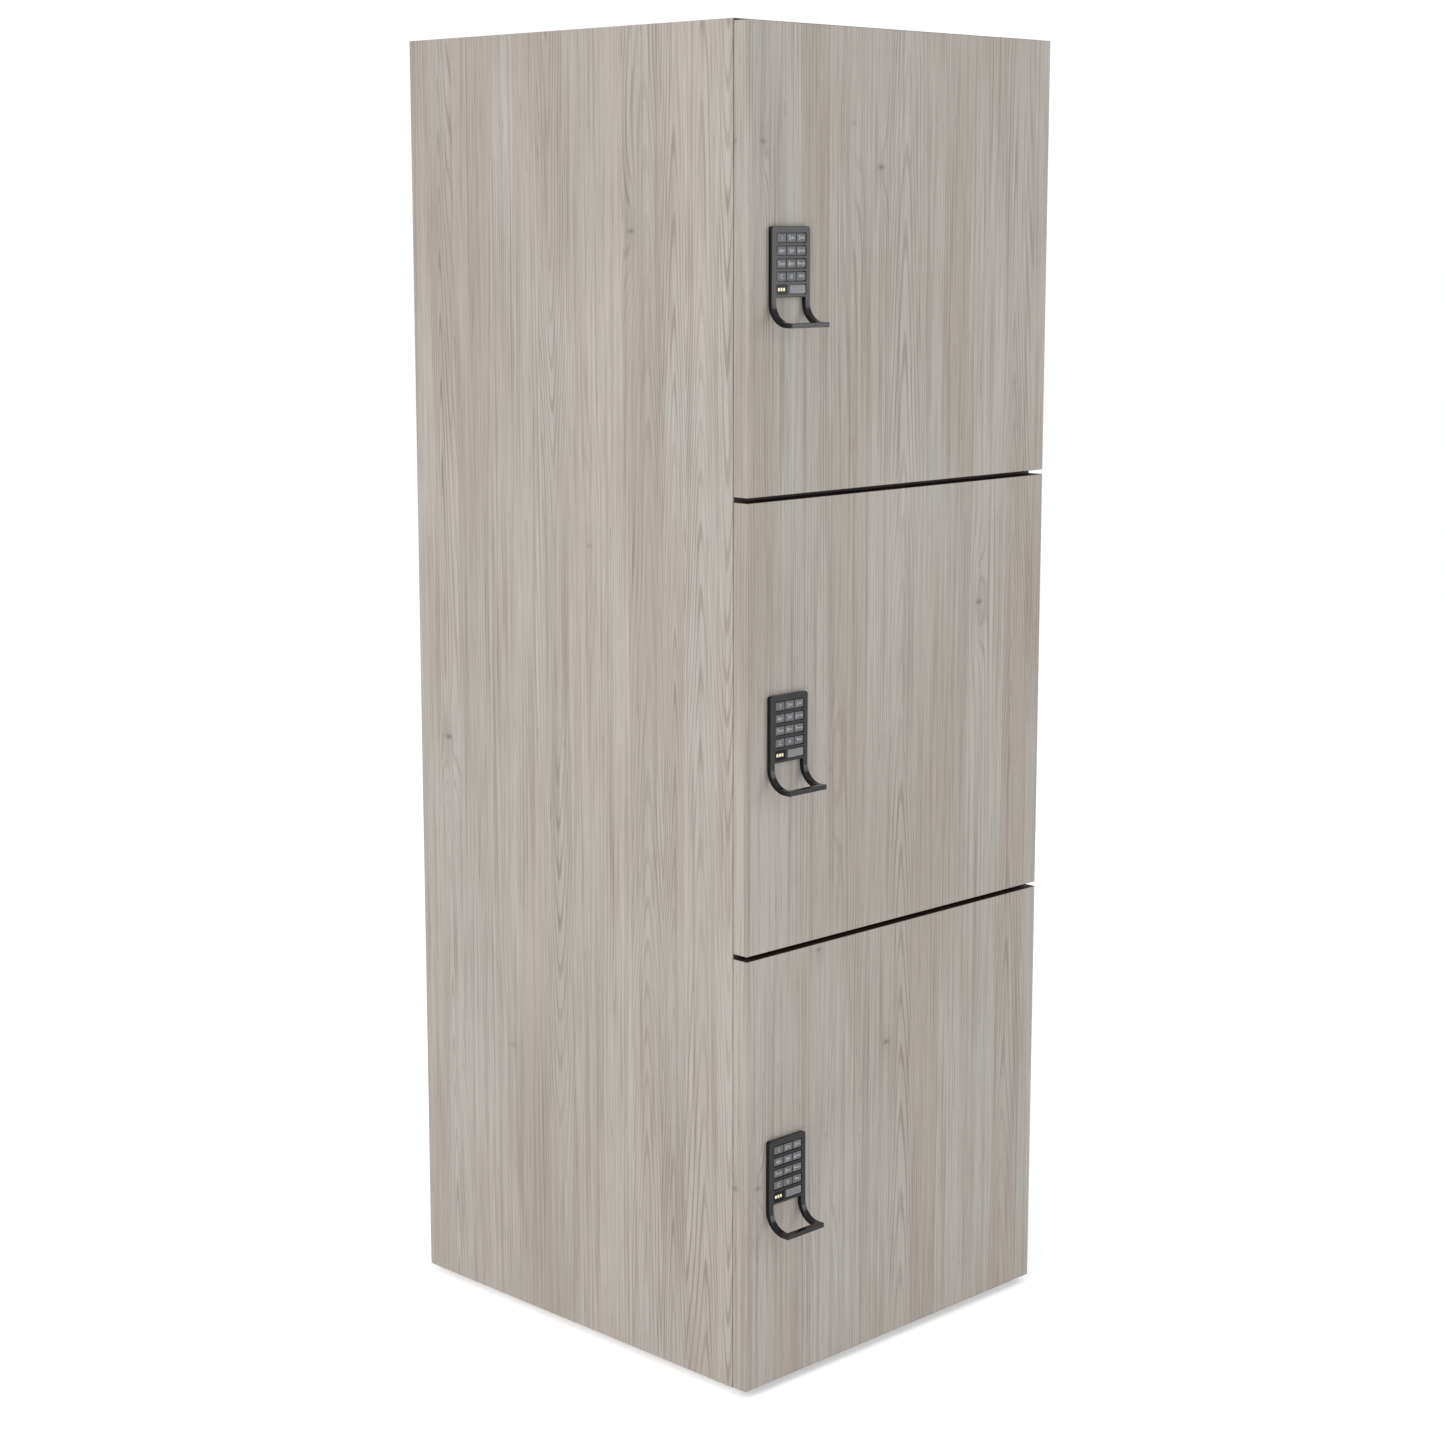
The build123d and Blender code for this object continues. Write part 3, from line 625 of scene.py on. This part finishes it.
def add_text(mesh, words, size, x, z, y):
    """Add raised text that faces -Y, its lower left at (x, z); returns how wide it is."""
    curve = bpy.data.curves.new("legend_text", "FONT")
    curve.body = words
    curve.size = size
    curve.extrude = INK / 2
    curve.resolution_u = 3
    holder = bpy.data.objects.new("legend_text", curve)
    bpy.context.scene.collection.objects.link(holder)
    bpy.context.view_layer.update()
    data = bpy.data.meshes.new_from_object(holder)
    width = max(v.co.x for v in data.vertices)
    data.transform(Matrix.Translation((x, y - INK / 2, z)) @ Matrix.Rotation(math.pi / 2, 4, "X"))
    mesh.from_mesh(data)
    bpy.data.meshes.remove(data)
    bpy.data.objects.remove(holder)
    bpy.data.curves.remove(curve)
    return width


def text_width(words, size):
    """How wide a text comes out."""
    scratch = bmesh.new()
    width = add_text(scratch, words, size, 0.0, 0.0, 0.0)
    scratch.free()
    return width


def add_key_symbol(mesh, x, z, y):
    """Add a small key: a ring, a shaft and two teeth."""
    ring, hole = SYMBOL_RING, SYMBOL_HOLE
    centre = Vector((x - SYMBOL_SHIFT, y - INK, z + SYMBOL_RISE))

    def circle(radius, depth):
        turns = [2 * math.pi * i / SYMBOL_POINTS for i in range(SYMBOL_POINTS)]
        spokes = [Vector((radius * math.cos(turn), depth, radius * math.sin(turn))) for turn in turns]
        return [mesh.verts.new(centre + spoke) for spoke in spokes]

    loops = [circle(ring, 0), circle(hole, 0), circle(hole, INK), circle(ring, INK)]
    for a, b in zip(loops, loops[1:] + loops[:1]):
        for i in range(SYMBOL_POINTS):
            j = (i + 1) % SYMBOL_POINTS
            mesh.faces.new((a[i], a[j], b[j], b[i]))
    shaft_bottom = centre.z - SHAFT_HALF
    low = (centre.x + ring * 0.9, y - INK, shaft_bottom)
    add_block(mesh, low, (x + SHAFT_END, y, centre.z + SHAFT_HALF), SYMBOL_EDGE, 1)
    for tooth in TEETH:
        low = (x + tooth, y - INK, centre.z - TOOTH_DEPTH)
        add_block(mesh, low, (x + tooth + TOOTH_WIDTH, y, shaft_bottom), SYMBOL_EDGE, 1)


def make_legends():
    """Digits and letters printed on every key."""
    for name, letters in LEGENDS.items():
        digit = "" if name in ("clear", "enter") else name
        digit_width = text_width(digit, DIGIT_SIZE) if digit else 0.0
        size = DIGIT_SIZE if name == "clear" else LETTER_SIZE
        drop = DIGIT_DROP if name == "clear" else LETTER_DROP
        letter_width = text_width(letters, size) if letters else 0.0
        whole = digit_width + letter_width + (LEGEND_GAP if digit and letters else 0.0)
        for door in DOORS:
            low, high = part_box(f"lock_{door}_key_{name}")
            x = (low.x + high.x) / 2
            z = (low.z + high.z) / 2
            mesh = bmesh.new()
            if name == "enter":
                add_key_symbol(mesh, x, z, low.y)
            start = x - whole / 2
            if digit:
                add_text(mesh, digit, DIGIT_SIZE, start, z - DIGIT_SIZE * DIGIT_DROP, low.y)
                start += digit_width + LEGEND_GAP
            if letters:
                add_text(mesh, letters, size, start, z - size * drop, low.y)
            finish_piece(f"legend_{door}_{name}", mesh, "key_legend", f"key_{door}_{name}")


def make_displays():
    """Window with three lamps, spacer strip and blank badge plate in the lowest slot of each lock."""
    for door in DOORS:
        low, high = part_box(f"lock_{door}_pull_housing")
        body = f"door_{door}"
        slot_left = low.x + SLOT_INSET
        middle = high.z - DISPLAY_MIDDLE_DROP
        face = door_face - PLATE
        floor = face + DISPLAY_DEPTH
        for name, slot, left, right, half_height, recess, radius in DISPLAY_PLATES:
            mesh = bmesh.new()
            corner = (slot_left + left * MM, face + recess * MM, middle - half_height * MM)
            far = (slot_left + right * MM, floor, middle + half_height * MM)
            add_block(mesh, corner, far, radius * MM, 3)
            finish_piece(f"{name}_{door}", mesh, slot, body)
        mesh = bmesh.new()
        width, depth, height = LAMP_SIZE
        for index in range(LAMP_COUNT):
            x = slot_left + (LAMP_START + index * LAMP_PITCH) * MM
            y = face + LAMP_RECESS
            far = (x + width, y + depth, middle + height / 2)
            add_block(mesh, (x, y, middle - height / 2), far, LAMP_RADIUS, 2)
        finish_piece(f"display_lamps_{door}", mesh, "display_lamp", body)


def make_case_covers():
    """Battery cover with finger ribs on the back of each rear unit."""
    for door in DOORS:
        low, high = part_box(f"lock_{door}_rear_unit")
        back = high.y - FIXING_HEAD_HEIGHT
        right = high.x - COVER_MARGIN
        left = right - COVER_WIDTH
        bottom = low.z + COVER_MARGIN
        mesh = bmesh.new()
        far = (right, back + COVER_LIFT, bottom + COVER_HEIGHT)
        add_block(mesh, (left, back - COVER_SINK, bottom), far, COVER_RADIUS, 3)
        for index in range(RIB_COUNT):
            z = bottom + (RIB_START + index * RIB_PITCH) * MM
            far = (right - RIB_INSET, back + RIB_LIFT, z + RIB_THICKNESS)
            add_block(mesh, (left + RIB_INSET, back + RIB_FOOT, z), far, RIB_RADIUS, 2)
        finish_piece(f"battery_cover_{door}", mesh, "rear_case", f"door_{door}")


make_edge_bands()
make_screws()
make_legends()
make_displays()
make_case_covers()

# ---------------------------------------------------------------- floor, camera and light

FLOOR_HALF_SIZE = 60.0
FLOOR_GLOW = 0.42
CAMERA_DISTANCE = 2.6699
CAMERA_OFFSET = 0.02427
EYE_HEIGHT = 1.1891
CAMERA_TILT = 9.39
LENS = 68.9
SHIFT = -0.03
SUN_SPREAD = 70
SUN_TILT = 8
SURROUND_COLOUR = (0.93, 0.96, 1.0, 1.0)
SURROUND_STRENGTH = 0.55
SEEN_STRENGTH = 1.05


def make_floor():
    """Large flat floor at z = 0."""
    mesh = bmesh.new()
    bmesh.ops.create_grid(mesh, x_segments=4, y_segments=4, size=FLOOR_HALF_SIZE)
    data = bpy.data.meshes.new("floor")
    mesh.to_mesh(data)
    mesh.free()
    data.materials.append(floor_material())
    floor = bpy.data.objects.new("floor", data)
    bpy.context.scene.collection.objects.link(floor)


def make_camera():
    """Level with the upper lock, 45 degrees to the left of the doors, tilted down a little."""
    heading = Vector((math.sqrt(0.5), math.sqrt(0.5), 0))
    across = Vector((math.sqrt(0.5), -math.sqrt(0.5), 0))
    corner = Vector((door_low.x, door_face, EYE_HEIGHT))
    data = bpy.data.cameras.new("camera")
    data.sensor_width = 36.0
    data.lens = LENS
    data.shift_y = SHIFT
    camera = bpy.data.objects.new("camera", data)
    camera.location = corner - CAMERA_DISTANCE * heading - CAMERA_OFFSET * across
    camera.rotation_euler = (math.radians(90 - CAMERA_TILT), 0, math.radians(-45))
    bpy.context.scene.collection.objects.link(camera)
    bpy.context.scene.camera = camera


def make_light(name, place, target, size, power):
    """Rectangular soft light at a place, aimed at a target; size in metres, power in watts."""
    data = bpy.data.lights.new(name, "AREA")
    data.shape = "RECTANGLE"
    data.size, data.size_y = size
    data.energy = power
    light = bpy.data.objects.new(name, data)
    light.location = place
    aim = Vector(target) - Vector(place)
    light.rotation_euler = aim.to_track_quat("-Z", "Y").to_euler()
    bpy.context.scene.collection.objects.link(light)


def make_sun(name, strength):
    """Wide soft light from above, the same everywhere on the floor."""
    data = bpy.data.lights.new(name, "SUN")
    data.energy = strength
    data.angle = math.radians(SUN_SPREAD)
    light = bpy.data.objects.new(name, data)
    light.rotation_euler = (math.radians(SUN_TILT), math.radians(-SUN_TILT), 0)
    bpy.context.scene.collection.objects.link(light)


def make_world():
    """Even studio surround: white where the camera looks past the object, softer as a light."""
    world = bpy.data.worlds.new("studio")
    world.use_nodes = True
    tree = world.node_tree
    backdrop = tree.nodes["Background"]
    backdrop.inputs["Color"].default_value = SURROUND_COLOUR
    backdrop.inputs["Strength"].default_value = SURROUND_STRENGTH
    seen = tree.nodes.new("ShaderNodeBackground")
    seen.inputs["Color"].default_value = (1.0, 1.0, 1.0, 1.0)
    seen.inputs["Strength"].default_value = SEEN_STRENGTH
    path = tree.nodes.new("ShaderNodeLightPath")
    blend = tree.nodes.new("ShaderNodeMixShader")
    tree.links.new(path.outputs["Is Camera Ray"], blend.inputs[0])
    tree.links.new(backdrop.outputs[0], blend.inputs[1])
    tree.links.new(seen.outputs[0], blend.inputs[2])
    tree.links.new(blend.outputs[0], tree.nodes["World Output"].inputs["Surface"])
    bpy.context.scene.world = world


make_floor()
make_camera()
make_world()
make_light("key_light", place=(-3.4, -0.9, 2.0), target=(0, 0, 0.8), size=(2.2, 2.2), power=62)
make_light("front_light", place=(2.6, -3.6, 1.7), target=(0, 0, 0.8), size=(1.8, 2.6), power=46)
make_sun("overhead_sun", strength=0.55)
bpy.context.scene.view_settings.view_transform = "Standard"
